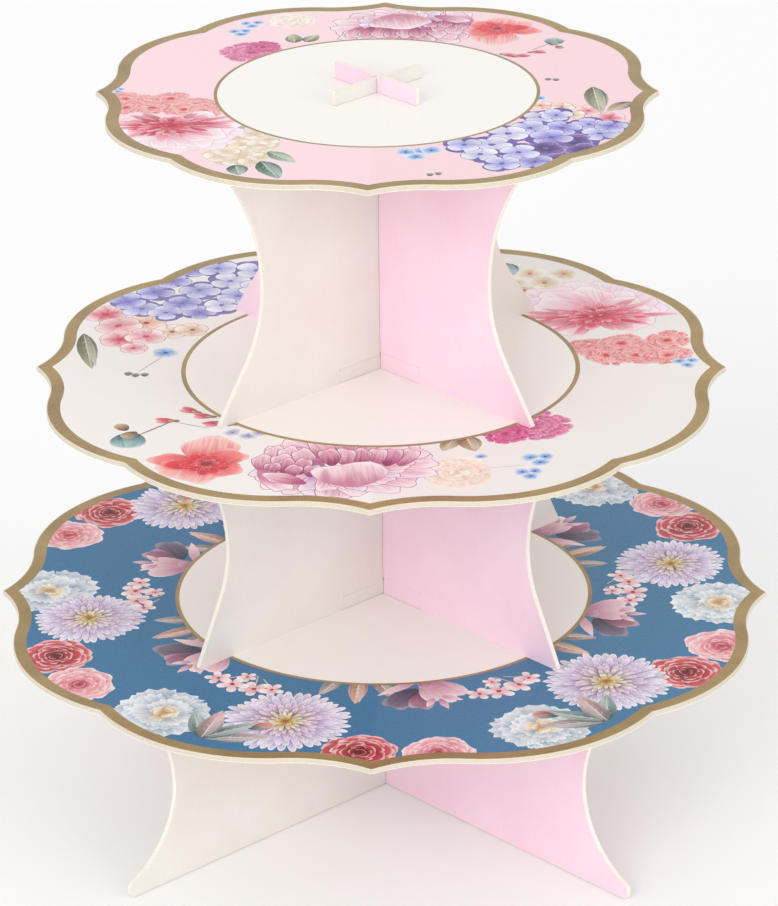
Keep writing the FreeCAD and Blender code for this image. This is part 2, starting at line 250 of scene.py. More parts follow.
def printed_paper():
    """Glossy print: each petal's two inks, brushed from root to tip, with veins and a rim."""
    settings = {"coat_weight": 0.22, "coat_roughness": 0.06, "specular_ior_level": 0.12}
    material, tree, shader = new_material("floral_print", 0.35, **settings)
    base = node(tree, "Attribute", attribute_name="root_ink").outputs["Color"]
    tip = node(tree, "Attribute", attribute_name="tip_ink").outputs["Color"]
    petal = node(tree, "Attribute", attribute_name="petal").outputs["Vector"]
    hand = node(tree, "Attribute", attribute_name="hand").outputs["Vector"]
    along, across, _ = node(tree, "SeparateXYZ", ((0, petal),)).outputs
    streak, rim, wash = node(tree, "SeparateXYZ", ((0, hand),)).outputs
    place = place_of(tree)

    brushed = noise(tree, stretched(tree, petal, (1.3, 4.5, 7.3)), 1.0, 2.0)
    wander = maths(tree, "MULTIPLY", maths(tree, "SUBTRACT", brushed, 0.5), streak)
    share = spread(tree, maths(tree, "ADD", along, wander), 0.05, 0.95, 0.0, 1.0, True)
    ink = mixed(tree, share, base, tip)

    veins = noise(tree, stretched(tree, petal, (1.0, 15.0, 3.1)), 1.0, 1.0)
    vein_share = maths(tree, "MULTIPLY", spread(tree, veins, 0.5, 0.72, 0.0, 0.55), streak, True)
    ink = mixed(tree, vein_share, ink, base)

    middle = maths(tree, "SUBTRACT", maths(tree, "MULTIPLY", along, 2.0), 1.0)
    middle_squared = maths(tree, "MULTIPLY", middle, middle)
    across_squared = maths(tree, "MULTIPLY", across, across)
    radius = maths(tree, "SQRT", maths(tree, "ADD", middle_squared, across_squared))
    tip_side = spread(tree, along, 0.3, 0.75, 0.0, 1.0)
    outside = maths(tree, "MULTIPLY", spread(tree, radius, 0.72, 1.0, 0.0, 1.0, True), rim)
    rim_share = maths(tree, "MULTIPLY", outside, tip_side, True)
    ink = mixed(tree, rim_share, ink, mixed(tree, 0.65, tip, (1.0, 1.0, 1.0, 1.0)))

    cloud = noise(tree, place, 90.0, 3.0)
    blotch = maths(tree, "MULTIPLY", spread(tree, cloud, 0.35, 0.7, 0.0, 1.0), wash, True)
    ink = mixed(tree, blotch, ink, base)
    grain = noise(tree, place, 1700.0, 3.0, 0.6)
    grain_share = spread(tree, grain, 0.3, 0.7, 0.0, 0.13)
    ink = mixed(tree, grain_share, ink, (0.55, 0.5, 0.5, 1.0), "MULTIPLY")
    tree.links.new(ink, shader.inputs["Base Color"])
    tree.links.new(spread(tree, grain, 0.3, 0.7, 0.24, 0.36), shader.inputs["Roughness"])
    bump(tree, shader, grain, 0.00003, 0.25)
    return material


# ------------------------------------------------------------------- drawing on a sheet


def polar(radius, degrees):
    bearing = math.radians(degrees)
    return Vector((radius * math.cos(bearing), radius * math.sin(bearing)))


class Sheet:
    """Flat shapes printed on a plate, in millimetres from its centre, later over earlier."""

    def __init__(self, seed):
        self.chance = random.Random(seed)
        self.shapes = []

    def add(self, outline, inks, root=(0.0, 0.0), along=(1.0, 0.0), across=(0.0, 1.0), hand=(0, 0, 0)):
        """Inks are the colours at the root and at the tip. Hand is streaks, rim and wash, 0 to 1."""
        jitter = self.chance.random()
        pairs = zip(outline, outline[1:] + outline[:1])
        if sum(a[0] * b[1] - a[1] * b[0] for a, b in pairs) < 0:
            outline = outline[::-1]  # the triangulation takes counter-clockwise outlines
        colours = [linear(ink) for ink in inks]
        self.shapes.append((outline, colours, root, along, across, hand, jitter))


# Petal forms give points (along, across), from the root at 0 to the tip at 1 and about 1 to either
# side. All take the sheet's chance, which only the uneven ones draw from.


def egg(chance):
    """Narrow at the root and broad near the tip."""
    for i in range(14):
        turn = 2 * math.pi * (i + 0.5) / 14
        along = 0.5 - 0.5 * math.cos(turn)
        yield along, math.sin(turn) * (0.68 + 0.45 * along)


def frill(chance):
    """Broad, with a torn and toothed tip."""
    for i in range(22):
        turn = 2 * math.pi * (i + 0.5) / 22
        along = 0.5 - 0.5 * math.cos(turn)
        tooth = 1 - (0.13 * (i % 2) + 0.06 * chance.random()) * (along > 0.45)
        yield along * tooth, math.sin(turn) * (0.6 + 0.6 * along) * tooth


def ruffle(chance):
    """Broad, with a wavy tip."""
    waves = chance.uniform(0, 6.28)
    for i in range(20):
        turn = 2 * math.pi * (i + 0.5) / 20
        along = 0.5 - 0.5 * math.cos(turn)
        wave = 1 + 0.07 * math.sin(4.6 * turn + waves) * along
        yield along * wave, math.sin(turn) * (0.62 + 0.55 * along) * wave


def blade(chance):
    """Pointed at both ends, broadest before the middle."""
    for i in range(16):
        turn = 2 * math.pi * i / 16
        along = 0.5 - 0.5 * math.cos(turn)
        swell = (4 * along * (1 - along)) ** 0.85 * (1.3 - 0.6 * along)
        yield along, math.copysign(swell, math.sin(turn)) if i % 8 else 0.0


def strap(chance):
    """A narrow band with round ends."""
    for i in range(12):
        turn = 2 * math.pi * (i + 0.5) / 12
        yield 0.5 - 0.5 * math.cos(turn), math.copysign(abs(math.sin(turn)) ** 0.4, math.sin(turn))


class Brush:
    """Paints about a place on a sheet, in a frame that is turned and squashed there."""

    def __init__(self, sheet, x, y, turn=0.0, squash=1.0):
        self.sheet = sheet
        self.place = Vector((x, y))
        right, up = polar(1, turn), polar(squash, turn + 90)
        self.frame = Matrix(((right.x, up.x), (right.y, up.y)))

    def petal(
        self, form, root, bearing, length, width, inks, hand=(0.5, 0.5, 0.1), line=0.0, line_ink=None
    ):
        """One petal or leaf, from its root towards a bearing, with an outline as broad as line."""
        start = self.place + self.frame @ Vector(root)
        along = self.frame @ polar(length, bearing)
        across = self.frame @ polar(width / 2, bearing + 90)
        shape = list(form(self.sheet.chance))
        if line:
            longer, wider = 1 + line / length, 1 + 2 * line / width
            rim = [start + along * u * longer + across * v * wider for u, v in shape]
            self.sheet.add(rim, (line_ink or inks[0],) * 2, start, along, across)
        outline = [start + along * u + across * v for u, v in shape]
        self.sheet.add(outline, inks, start, along, across, hand)

    def ring(
        self, form, inner, outer, count, width, inks, hand, loose=0.06, turn=0.0, line=0.0, line_ink=None
    ):
        """Petals all round, from the inner to the outer radius."""
        chance = self.sheet.chance
        for i in range(count):
            bearing = turn + 360 * (i + chance.uniform(-2, 2) * loose) / count
            reach = (outer - inner) * (1 + chance.uniform(-1.5, 1) * loose)
            shade = 1 + chance.uniform(-0.07, 0.05)
            own = [tuple(min(c * shade, 255) for c in ink) for ink in inks]
            self.petal(form, polar(inner, bearing), bearing, reach, width, own, hand, line, line_ink)

    def stem(self, start, end, width, ink):
        run = Vector(end) - Vector(start)
        bearing = math.degrees(math.atan2(run.y, run.x))
        self.petal(strap, start, bearing, run.length, width, (ink, ink), (0.2, 0.0, 0.2))

    def leaf(self, root, bearing, length, width, inks, vein):
        """A pointed leaf, one half lighter, with a midrib and side veins."""
        self.petal(blade, root, bearing, length, width, inks, (0.9, 0.35, 0.3))
        lighter = [tuple(0.6 * c + 0.4 * 235 for c in ink) for ink in inks]
        half_root = Vector(root) + polar(width * 0.12, bearing + 90) + polar(length * 0.06, bearing)
        half_length, half_width = length * 0.88, width * 0.42
        self.petal(blade, half_root, bearing + 1.5, half_length, half_width, lighter, (0.8, 0.2, 0.2))
        midrib = max(width * 0.06, 0.3)
        self.petal(strap, root, bearing, length * 0.93, midrib, (vein, vein), (0, 0, 0))
        for share in (0.22, 0.38, 0.54, 0.7):
            for side in (-1, 1):
                knee = Vector(root) + polar(length * share, bearing)
                reach = width * 0.42 * (1.15 - share)
                self.petal(strap, knee, bearing + side * 38, reach, 0.25, (vein, inks[1]), (0, 0, 0))


# ----------------------------------------------------------------------------- flowers


def dahlia(sheet, x, y, radius, turn=0.0):
    """A lilac pompon of many narrow petals about a straw-coloured heart."""
    brush = Brush(sheet, x, y, turn)
    lilac = ((148, 112, 184), (240, 233, 246))
    mauve = ((126, 80, 148), (226, 208, 234))
    rosy = ((138, 80, 136), (238, 214, 230))
    dusk = ((84, 46, 82), (248, 236, 228))
    straw = ((160, 106, 48), (252, 238, 196))
    amber = ((150, 100, 40), (244, 214, 132))
    crisp = (0.8, 0.9, 0.05)
    brush.ring(egg, 0.5 * radius, radius, 40, 0.15 * radius, lilac, crisp, 0.08)
    brush.ring(egg, 0.38 * radius, 0.86 * radius, 36, 0.13 * radius, lilac, crisp, 0.1, 4.0)
    brush.ring(egg, 0.28 * radius, 0.7 * radius, 32, 0.11 * radius, mauve, crisp, 0.12)
    brush.ring(egg, 0.2 * radius, 0.56 * radius, 26, 0.1 * radius, rosy, crisp, 0.12, 5.0)
    brush.ring(egg, 0.12 * radius, 0.44 * radius, 20, 0.08 * radius, dusk, crisp, 0.1)
    brush.ring(egg, 0.04 * radius, 0.3 * radius, 17, 0.07 * radius, straw, crisp, 0.12)
    brush.ring(egg, 0.0, 0.17 * radius, 9, 0.07 * radius, amber, crisp, 0.15)


def full_rose(sheet, x, y, radius, tones, form=ruffle, turn=0.0):
    """Broad petals in six rings that close on the heart. Tones are outer, inner and heart inks."""
    brush = Brush(sheet, x, y, turn)
    outer, inner, heart = tones
    soft = (0.7, 0.9, 0.1)
    brush.ring(form, 0.34 * radius, radius, 8, 0.96 * radius, outer, soft, 0.1)
    brush.ring(form, 0.26 * radius, 0.84 * radius, 7, 0.84 * radius, outer, soft, 0.12, 20.0)
    brush.ring(form, 0.16 * radius, 0.67 * radius, 6, 0.7 * radius, inner, soft, 0.12)
    brush.ring(form, 0.08 * radius, 0.5 * radius, 5, 0.56 * radius, inner, soft, 0.14, 30.0)
    brush.ring(form, 0.02 * radius, 0.34 * radius, 4, 0.42 * radius, heart, soft, 0.15)
    brush.ring(egg, 0.0, 0.2 * radius, 3, 0.26 * radius, heart, soft, 0.15, 15.0)


def white_peony(sheet, x, y, radius, turn=0.0):
    outer = ((112, 146, 176), (240, 246, 250))
    inner = ((146, 170, 190), (252, 252, 252))
    heart = ((204, 156, 98), (255, 248, 226))
    full_rose(sheet, x, y, radius, (outer, inner, heart), frill, turn)


def red_rose(sheet, x, y, radius, turn=0.0):
    outer = ((112, 8, 26), (232, 92, 100))
    inner = ((98, 4, 20), (214, 60, 72))
    heart = ((70, 0, 12), (170, 26, 40))
    full_rose(sheet, x, y, radius, (outer, inner, heart), ruffle, turn)


def pink_rose(sheet, x, y, radius, turn=0.0):
    outer = ((204, 82, 106), (253, 196, 200))
    inner = ((190, 62, 88), (248, 168, 176))
    heart = ((166, 42, 66), (236, 130, 140))
    full_rose(sheet, x, y, radius, (outer, inner, heart), ruffle, turn)


def carnation(sheet, x, y, radius, inks, heart, turn=0.0, squash=1.0):
    """A dense head of fringed petals."""
    brush = Brush(sheet, x, y, turn, squash)
    hand = (0.8, 0.7, 0.15)
    rings = ((1.0, 17), (0.84, 15), (0.68, 12), (0.52, 10), (0.38, 7))
    for step, (share, count) in enumerate(rings):
        inner, outer = (share - 0.35) * radius, share * radius
        brush.ring(frill, inner, outer, count, 0.4 * radius, inks, hand, 0.16, 11.0 * step)
    brush.ring(frill, 0.0, 0.26 * radius, 6, 0.22 * radius, heart, hand, 0.2)


def blossom(sheet, x, y, radius, inks, eye, petals=5, turn=0.0, width=1.02, line=0.0, line_ink=None):
    """A small open flower with an eye. Width is a petal's, as a share of the radius."""
    brush = Brush(sheet, x, y, turn)
    hand = (0.7, 0.6, 0.1)
    brush.ring(egg, 0.08 * radius, radius, petals, width * radius, inks, hand, 0.07, 0.0, line, line_ink)
    brush.ring(egg, 0.0, 0.17 * radius, 5, 0.15 * radius, (eye, eye), (0, 0, 0), 0.1)


def hydrangea(sheet, x, y, florets, tones, shade):
    """A head of four-petalled florets. Florets are (x, y, radius, tone) from the centre."""
    hand = (0.5, 0, 0.4)
    for fx, fy, radius, _ in florets:
        brush = Brush(sheet, x + fx, y + fy)
        brush.ring(egg, 0.0, radius * 1.1, 5, radius * 1.4, (shade, shade), hand, 0.2)
    for fx, fy, radius, tone in florets:
        turn = sheet.chance.uniform(0, 90)
        blossom(sheet, x + fx, y + fy, radius, tones[tone], shade, 4, turn, 1.02, 0.3, shade)


# ------------------------------------------------------------------- the bottom print


def columbine(sheet, radius, bearing):
    """A nodding dusty-pink flower with dark bells, its stalk at the ring."""
    x, y = polar(radius, bearing)
    brush = Brush(sheet, x, y, bearing)
    dark = ((58, 56, 76), (128, 112, 134))
    plum = ((110, 56, 84), (176, 120, 146))
    pink = ((186, 128, 152), (242, 208, 216))
    pale = ((206, 150, 170), (250, 226, 228))
    brush.petal(ruffle, (7, -3), -42, 19, 13, dark, (0.7, 0.3, 0.2))
    brush.petal(ruffle, (9, 0), -18, 16, 11, plum, (0.7, 0.4, 0.2))
    brush.petal(blade, (1, -2), -62, 19, 4.5, pale, (0.5, 0.5, 0.1))
    brush.petal(egg, (2, 4), 38, 17, 10, pink, (0.6, 0.6, 0.15))
    brush.petal(egg, (2, 1), 2, 17, 9, pink, (0.6, 0.6, 0.15))
    brush.petal(egg, (5, 3), 20, 17, 8.5, pale, (0.6, 0.7, 0.1))
    brush.petal(blade, (15, 5), 58, 9, 3.4, pale, (0.5, 0.5, 0.1))
    brush.petal(blade, (17, 4), 12, 9, 3.2, pink, (0.5, 0.6, 0.1))
    brush.petal(blade, (16, 2), -30, 8, 3.0, pale, (0.5, 0.5, 0.1))
    brush.petal(egg, (0, 0), 8, 8, 6, ((150, 90, 118), (214, 160, 180)), (0.6, 0.3, 0.2))


def blossom_spray(sheet, radius, bearing):
    """Pale pink blossoms on thin curled stalks."""
    x, y = polar(radius, bearing)
    brush = Brush(sheet, x, y, bearing)
    stalk = (214, 196, 190)
    for start, end in (((-2, 1), (6, 5)), ((-2, 1), (7, -4)), ((0, -3), (7, -9)), ((-1, 4), (4, 11))):
        brush.stem(start, end, 0.55, stalk)
    inks = ((244, 186, 192), (255, 248, 244))
    for fx, fy, size in ((8, 6, 5.2), (9, -3.5, 5.4), (5, 12, 4.2), (7.5, -11, 4.4), (1, -2, 3.4)):
        at = brush.place + brush.frame @ Vector((fx, fy))
        blossom(sheet, at.x, at.y, 1.22 * size, inks, (178, 44, 52), 5, bearing + 20 * fx, 0.64)


def autumn_leaves(sheet, radius, bearing):
    """Three pointed leaves that open outwards from the ring."""
    x, y = polar(radius, bearing)
    brush = Brush(sheet, x, y, bearing)
    grey, brown = ((86, 96, 100), (196, 178, 168)), ((150, 104, 92), (232, 196, 170))
    brush.leaf((-3, -7), -24, 17, 6.5, grey, (232, 214, 200))
    brush.leaf((-3, 6), 28, 18, 6.5, ((104, 104, 100), (214, 176, 166)), (236, 214, 200))
    brush.leaf((-3, 0), 2, 22, 7.5, brown, (246, 220, 196))


def silver_leaves(sheet, radius, bearing, side=1.0):
    """Grey-green leaves and a striped red bud that spring from the rim."""
    x, y = polar(radius, bearing)
    brush = Brush(sheet, x, y, bearing + 180, side)
    green = ((66, 92, 98), (172, 190, 186))
    dusty = ((98, 110, 112), (214, 190, 190))
    bud = ((176, 40, 44), (238, 168, 158))
    brush.leaf((0, 0), 62, 26, 8, dusty, (222, 206, 200))
    brush.leaf((0, 0), 34, 25, 7.5, green, (206, 214, 206))
    brush.leaf((0, 0), -38, 22, 7.5, green, (206, 214, 206))
    brush.leaf((0, 0), -10, 23, 9, ((120, 120, 120), (226, 180, 180)), (236, 216, 210))
    brush.petal(egg, (15, 13), 42, 9, 7, bud, (0.9, 0.5, 0.2))
    brush.petal(blade, (14, 12), 52, 9, 3, green, (0.7, 0.3, 0.1))


def bottom_print(sheet):
    """24 flowers and 4 sprays of leaves along the rim, and a wreath of 18 sprays about the ring."""
    for turn in range(0, 360, 60):
        autumn_leaves(sheet, 80, 25 + turn)
    for bearing in (2, 62, 122, 182, 238, 300):
        blossom_spray(sheet, 90, bearing)
    for bearing in (40, 102, 162, 220, 282, 346):
        columbine(sheet, 80, bearing)
    for number, bearing in enumerate((-4, 50, 115, 180, 233, 298)):
        white_peony(sheet, *polar(133, bearing), 20.0, 37 * number)
    for number, bearing in enumerate((27, 88, 147, 205, 268, 329)):
        red_rose(sheet, *polar(138, bearing), 14.5, 23 * number)
    for number, bearing in enumerate((37, 99, 158, 216, 280, 340)):
        pink_rose(sheet, *polar(141, bearing), 14.0, 31 * number)
    for bearing, radius in ((13, 22), (75, 23), (136, 23), (192, 22), (253.5, 24.5), (318, 24.5)):
        dahlia(sheet, *polar(118, bearing), radius, 1.7 * bearing)
    for bearing, side in ((62, 1), (126, -1), (243, -1), (308, 1)):
        silver_leaves(sheet, 142, bearing, side)


# --------------------------------------------------------- the middle and the top print

ROSE_PALE = ((200, 108, 150), (253, 228, 236))
ROSE_DEEP = ((150, 44, 94), (238, 172, 198))
ROSE_CUP = ((182, 80, 124), (248, 210, 222))
LILAC_PINK = ((160, 108, 168), (240, 216, 236))
CORAL = ((206, 34, 54), (252, 142, 138))
CORAL_PALE = ((224, 70, 82), (254, 204, 196))
BLUSH = ((224, 96, 122), (255, 232, 232))
BLUSH_PALE = ((240, 160, 170), (255, 242, 238))
BLUSH_LINE = (214, 70, 100)
SCARLET = ((168, 0, 34), (250, 56, 74))
PEACH = ((232, 186, 152), (255, 242, 232))
CREAM = ((226, 198, 162), (255, 249, 238))
IVORY = ((232, 206, 174), (255, 251, 243))
MAGENTA = ((160, 8, 84), (240, 112, 170))
SKY = ((122, 162, 224), (226, 238, 252))
TEAL = ((52, 92, 100), (168, 200, 200))
OLIVE = ((92, 92, 64), (186, 184, 150))
GREEN = ((44, 82, 70), (150, 182, 160))
UMBER = ((112, 82, 54), (206, 182, 146))
FLORETS = {
    "violet": ((140, 134, 212), (212, 212, 248)),
    "purple": ((62, 34, 112), (146, 112, 190)),
    "lilac": ((172, 172, 230), (232, 232, 252)),
    "white": ((204, 200, 238), (252, 250, 255)),
}


def cup_peony(brush, size):
    """A wide open peony seen from its side: outer petals, a heart and a scooped front petal."""
    soft = (0.95, 0.8, 0.1)

    def at(form, root, bearing, length, width, inks):
        root = (root[0] * size, root[1] * size)
        brush.petal(form, root, bearing, length * size, width * size, inks, soft, 0.35)

    for bearing, reach, inks in (
        (196, 34, LILAC_PINK), (178, 30, ROSE_PALE), (214, 36, ROSE_PALE), (232, 33, ROSE_CUP),
        (250, 30, ROSE_PALE), (268, 32, ROSE_CUP), (288, 30, ROSE_PALE), (308, 33, ROSE_PALE),
        (328, 34, ROSE_CUP), (346, 36, ROSE_PALE), (4, 36, ROSE_PALE), (22, 34, ROSE_CUP),
        (42, 30, ROSE_PALE), (140, 30, ROSE_PALE), (160, 31, ROSE_CUP),
    ):
        at(ruffle, polar(6, bearing), bearing, reach - 6, 17, inks)
    for step in range(15):
        bearing = 168 + 15 * step
        reach = brush.sheet.chance.uniform(19, 25)
        inks = (ROSE_PALE, ROSE_CUP, LILAC_PINK)[step % 3]
        at(ruffle, polar(6, bearing), bearing, reach - 2, 10, inks)
    for bearing in (62, 76, 90, 104, 118):
        at(ruffle, polar(5, bearing), bearing, 18, 10, ROSE_CUP)
    for x in (20, 15, 10, 5, 0, -5):
        at(ruffle, (x + 2, -3), 94 - x, 16, 8.5, (ROSE_CUP, ROSE_DEEP)[x % 2])
    for x, y, length in ((-24, -4, 19), (-18, -6, 21), (-29, -8, 15), (-12, -6, 19), (-21, -9, 17)):
        at(ruffle, (x, y), 96 + 0.6 * (x + 18), length, 9, ROSE_CUP)
    for x, y, length in ((-21, -10, 14), (-15, -11, 15), (-26, -11, 11), (-18, -13, 11), (-11, -13, 11)):
        at(ruffle, (x, y), 84, length, 7, ROSE_DEEP)
    at(ruffle, (-30, -6), 300, 22, 10, ROSE_PALE)
    at(ruffle, (-12, -19), 152, 18, 9, ROSE_CUP)
    at(ruffle, (6, -22), 99, 22, 31, ((206, 128, 156), (250, 224, 230)))


def poppy(brush, size):
    """Five crumpled coral petals about a scarlet heart."""
    hand = (0.9, 0.5, 0.12)
    for bearing, reach, width, inks in (
        (205, 20, 15, CORAL_PALE), (255, 18, 17, CORAL_PALE), (325, 15, 15, CORAL),
        (168, 22, 14, CORAL), (88, 25, 24, CORAL_PALE), (40, 17, 15, CORAL), (185, 17, 10, SCARLET),
    ):
        brush.petal(ruffle, (0, 0), bearing, reach * size, width * size, inks, hand)
    brush.ring(frill, 0.5 * size, 10.8 * size, 11, 6.0 * size, SCARLET, hand, 0.12)
    brush.ring(frill, 0.3 * size, 7.5 * size, 9, 4.4 * size, ((150, 0, 30), (255, 72, 86)), hand, 0.15)
    brush.ring(egg, 0.0, 4.4 * size, 7, 2.6 * size, ((132, 0, 26), (252, 96, 104)), hand, 0.15)


def bud(brush, size, inks, sepal, stalk):
    """A round bud in its sepals, with a stalk to the right."""
    brush.stem((4 * size, 0), (18 * size, -3 * size), 0.7 * size, stalk)
    brush.petal(egg, (5 * size, 5 * size), 60, 6 * size, 5 * size, sepal, (0.6, 0.3, 0.2))
    brush.petal(egg, (5 * size, 3 * size), 205, 12 * size, 12 * size, inks, (0.8, 0.5, 0.2))
    brush.petal(blade, (5 * size, 2 * size), 200, 10 * size, 4.5 * size, inks, (0.6, 0.6, 0.1))
    brush.petal(egg, (6 * size, 2 * size), 170, 6 * size, 5 * size, sepal, (0.6, 0.3, 0.2))


def red_bud(brush, size):
    """A long red bud that opens at its tip."""
    light, deep = ((186, 30, 56), (250, 170, 176)), ((170, 16, 44), (238, 110, 124))
    hand = (0.8, 0.6, 0.1)
    brush.petal(egg, (0, 0), 12, 8 * size, 4.2 * size, light, hand)
    brush.petal(egg, (0, 0), -10, 8.5 * size, 3.6 * size, deep, hand)
    brush.petal(blade, (-1.5 * size, 0), 0, 5 * size, 2.4 * size, UMBER, (0.5, 0.2, 0.1))


def little_blues(sheet, x, y, size, spread_by):
    """Three tiny blue flowers in a bunch."""
    for i in range(3):
        at = Vector((x, y)) + polar(spread_by, 120 * i + 40)
        blossom(sheet, at.x, at.y, size, SKY, (60, 64, 110), 5, 40 * i)


def cloud_peony(sheet, x, y, turn, size, heart):
    """A pale peony lying on its side, its long feathery heart showing."""
    brush = Brush(sheet, x, y, turn)
    pale = ((236, 140, 168), (255, 242, 246))
    lilac = ((220, 156, 204), (252, 238, 250))
    edge = (236, 178, 202)
    for bearing, reach, inks in (
        (200, 26, lilac), (225, 31, pale), (250, 33, lilac), (275, 33, pale), (300, 34, pale),
        (325, 32, lilac), (348, 28, pale), (180, 22, pale), (20, 22, pale), (160, 20, pale),
    ):
        root, length = polar(3 * size, bearing), (reach - 3) * size
        brush.petal(ruffle, root, bearing, length, 23 * size, inks, (0.8, 0.5, 0.1), 0.3, edge)
    for bearing, reach in ((240, 24), (268, 26), (296, 27), (318, 24), (215, 20)):
        root = polar(2 * size, bearing)
        brush.petal(ruffle, root, bearing, reach * size, 19 * size, pale, (0.8, 0.8, 0.1), 0.3, edge)
    brush = Brush(sheet, x, y, turn, 0.6)
    outer = (heart[0], (252, 176, 192))
    hand = (1.0, 0.3, 0.1)
    brush.ring(ruffle, 7 * size, 24 * size, 28, 5.5 * size, outer, hand, 0.35)
    brush.ring(ruffle, 6 * size, 20.5 * size, 26, 4.6 * size, outer, hand, 0.3, 5)
    brush.ring(ruffle, 5 * size, 17.5 * size, 23, 4.0 * size, heart, hand, 0.3)
    brush.ring(ruffle, 3 * size, 14 * size, 20, 3.4 * size, outer, hand, 0.3, 5)
    brush.ring(egg, 2 * size, 10.5 * size, 15, 2.8 * size, heart, hand, 0.3)
    brush.ring(egg, 0.0, 7 * size, 10, 2.3 * size, heart, hand, 0.3, 5)


def frilled_band(sheet, places, radius, inks, heart):
    """A row of small fringed flowers that run together."""
    for number, (x, y) in enumerate(places):
        carnation(sheet, x, y, radius, inks, heart, 40 * number, 0.8)


def middle_print(sheet):
    """Bouquets at the front, the back left and the back right of an off-white sheet."""
    # front: bud, small flowers, poppy, peony, peach flower and blues
    little_blues(sheet, 61.5, -88, 3.8, 3.2)
    little_blues(sheet, 58, -101, 3.4, 2.8)
    blossom(sheet, 40, -86, 2.6, SKY, (60, 64, 110))
    Brush(sheet, 40, -97).stem((0, 0), (16, 3), 0.4, (196, 196, 206))
    full_rose(sheet, 31, -101, 15, (PEACH, PEACH, CREAM), frill, 20)
    Brush(sheet, 30, -69, 250).leaf((0, 0), 0, 13, 7, UMBER, (226, 206, 170))
    Brush(sheet, 34, -67, 285).leaf((0, 0), 0, 15, 9, UMBER, (226, 206, 170))
    bud(Brush(sheet, -92, -71, 60), 1.25, TEAL, UMBER, (146, 112, 92))
    red_buds = ((-76, -53, 176), (-68, -45, 150), (-62, -49, 170), (-58, -54, 200), (-56, -57, 30))
    for x, y, bearing in red_buds:
        red_bud(Brush(sheet, x, y, bearing), 1.0)
    Brush(sheet, -77, -54).stem((0, 0), (14, -6), 0.5, (120, 130, 130))
    for x, y in ((-54, -64), (-48, -67), (-44, -64)):
        blossom(sheet, x, y, 3.8, ((178, 180, 214), (248, 246, 252)), (120, 110, 130), 5, 20 * x)
    cup_peony(Brush(sheet, -12, -92), 1.0)
    poppy(Brush(sheet, -62, -93), 1.0)
    carnation(sheet, 58, -57, 17, ((188, 30, 106), (248, 160, 198)), MAGENTA, 0, 0.9)
    carnation(sheet, 49, -65, 9.5, MAGENTA, MAGENTA, 20)

    # back left: hydrangea over pink blossoms, leaf, blue flower and berries
    for x, y, radius, inks in (
        (-112, 54, 9, BLUSH), (-95, 45, 9, PEACH), (-106, 42, 9.5, BLUSH_PALE), (-84, 36, 7.5, IVORY),
        (-104, 28, 9, BLUSH), (-94, 31, 8.5, BLUSH_PALE), (-76, 38, 7, CREAM), (-98, 19, 6, BLUSH_PALE),
    ):
        blossom(sheet, x, y, radius, inks, (186, 70, 80), 5, 11 * x, 1.0, 0.25, BLUSH_LINE)
    florets = (
        (-25, 6, 8, "lilac"), (-14, -12, 8, "lilac"), (-20, -4, 8, "violet"), (-4, -16, 7.5, "lilac"),
        (10, -16, 7, "violet"), (-10, 6, 8, "violet"), (-18, 16, 7.5, "violet"), (2, -6, 8, "violet"),
        (-4, 18, 8, "violet"), (4, 30, 7.5, "violet"), (8, 8, 8.5, "lilac"), (20, 18, 9, "white"),
        (14, 32, 8.5, "lilac"), (24, 2, 9, "lilac"), (30, 30, 9, "white"), (32, 12, 9, "white"),
        (38, 22, 9, "lilac"), (18, -8, 8, "white"),
    )
    hydrangea(sheet, -84, 72, florets, FLORETS, (128, 120, 182))
    Brush(sheet, -119, 34, 280).leaf((0, 0), 0, 37, 8, OLIVE, (214, 210, 180))
    blossom(sheet, -85, 14, 5.6, SKY, (40, 60, 130))
    Brush(sheet, -86, 10).stem((0, 0), (-8, -15), 0.45, (170, 150, 140))
    for x, y in ((-98, -9), (-95, -10.5), (-91.5, -10)):
        Brush(sheet, x, y).petal(egg, (0, 0), 90, 4, 3.6, ((88, 84, 96), (168, 160, 166)))

    # back right: pale peony, coral band, cream blossoms and blues
    for x, y, radius in ((50, 88, 7), (58, 98, 7), (64, 88, 7.5), (72, 98, 6.5), (56, 80, 6)):
        blossom(sheet, x, y, radius, CREAM, (190, 130, 90), 5, 23 * x)
    Brush(sheet, 48, 110, 285).leaf((0, 0), 0, 14, 8, TEAL, (190, 206, 206))
    cloud_peony(sheet, 85, 52, 190, 1.12, ((184, 18, 56), (238, 96, 122)))
    band = ((82, 20), (94, 24), (106, 19), (88, 12), (100, 12), (112, 12), (112, 27))
    frilled_band(sheet, band, 11.5, ((216, 66, 82), (255, 204, 200)), CORAL)
    little_blues(sheet, 119, 5, 3.2, 2.8)


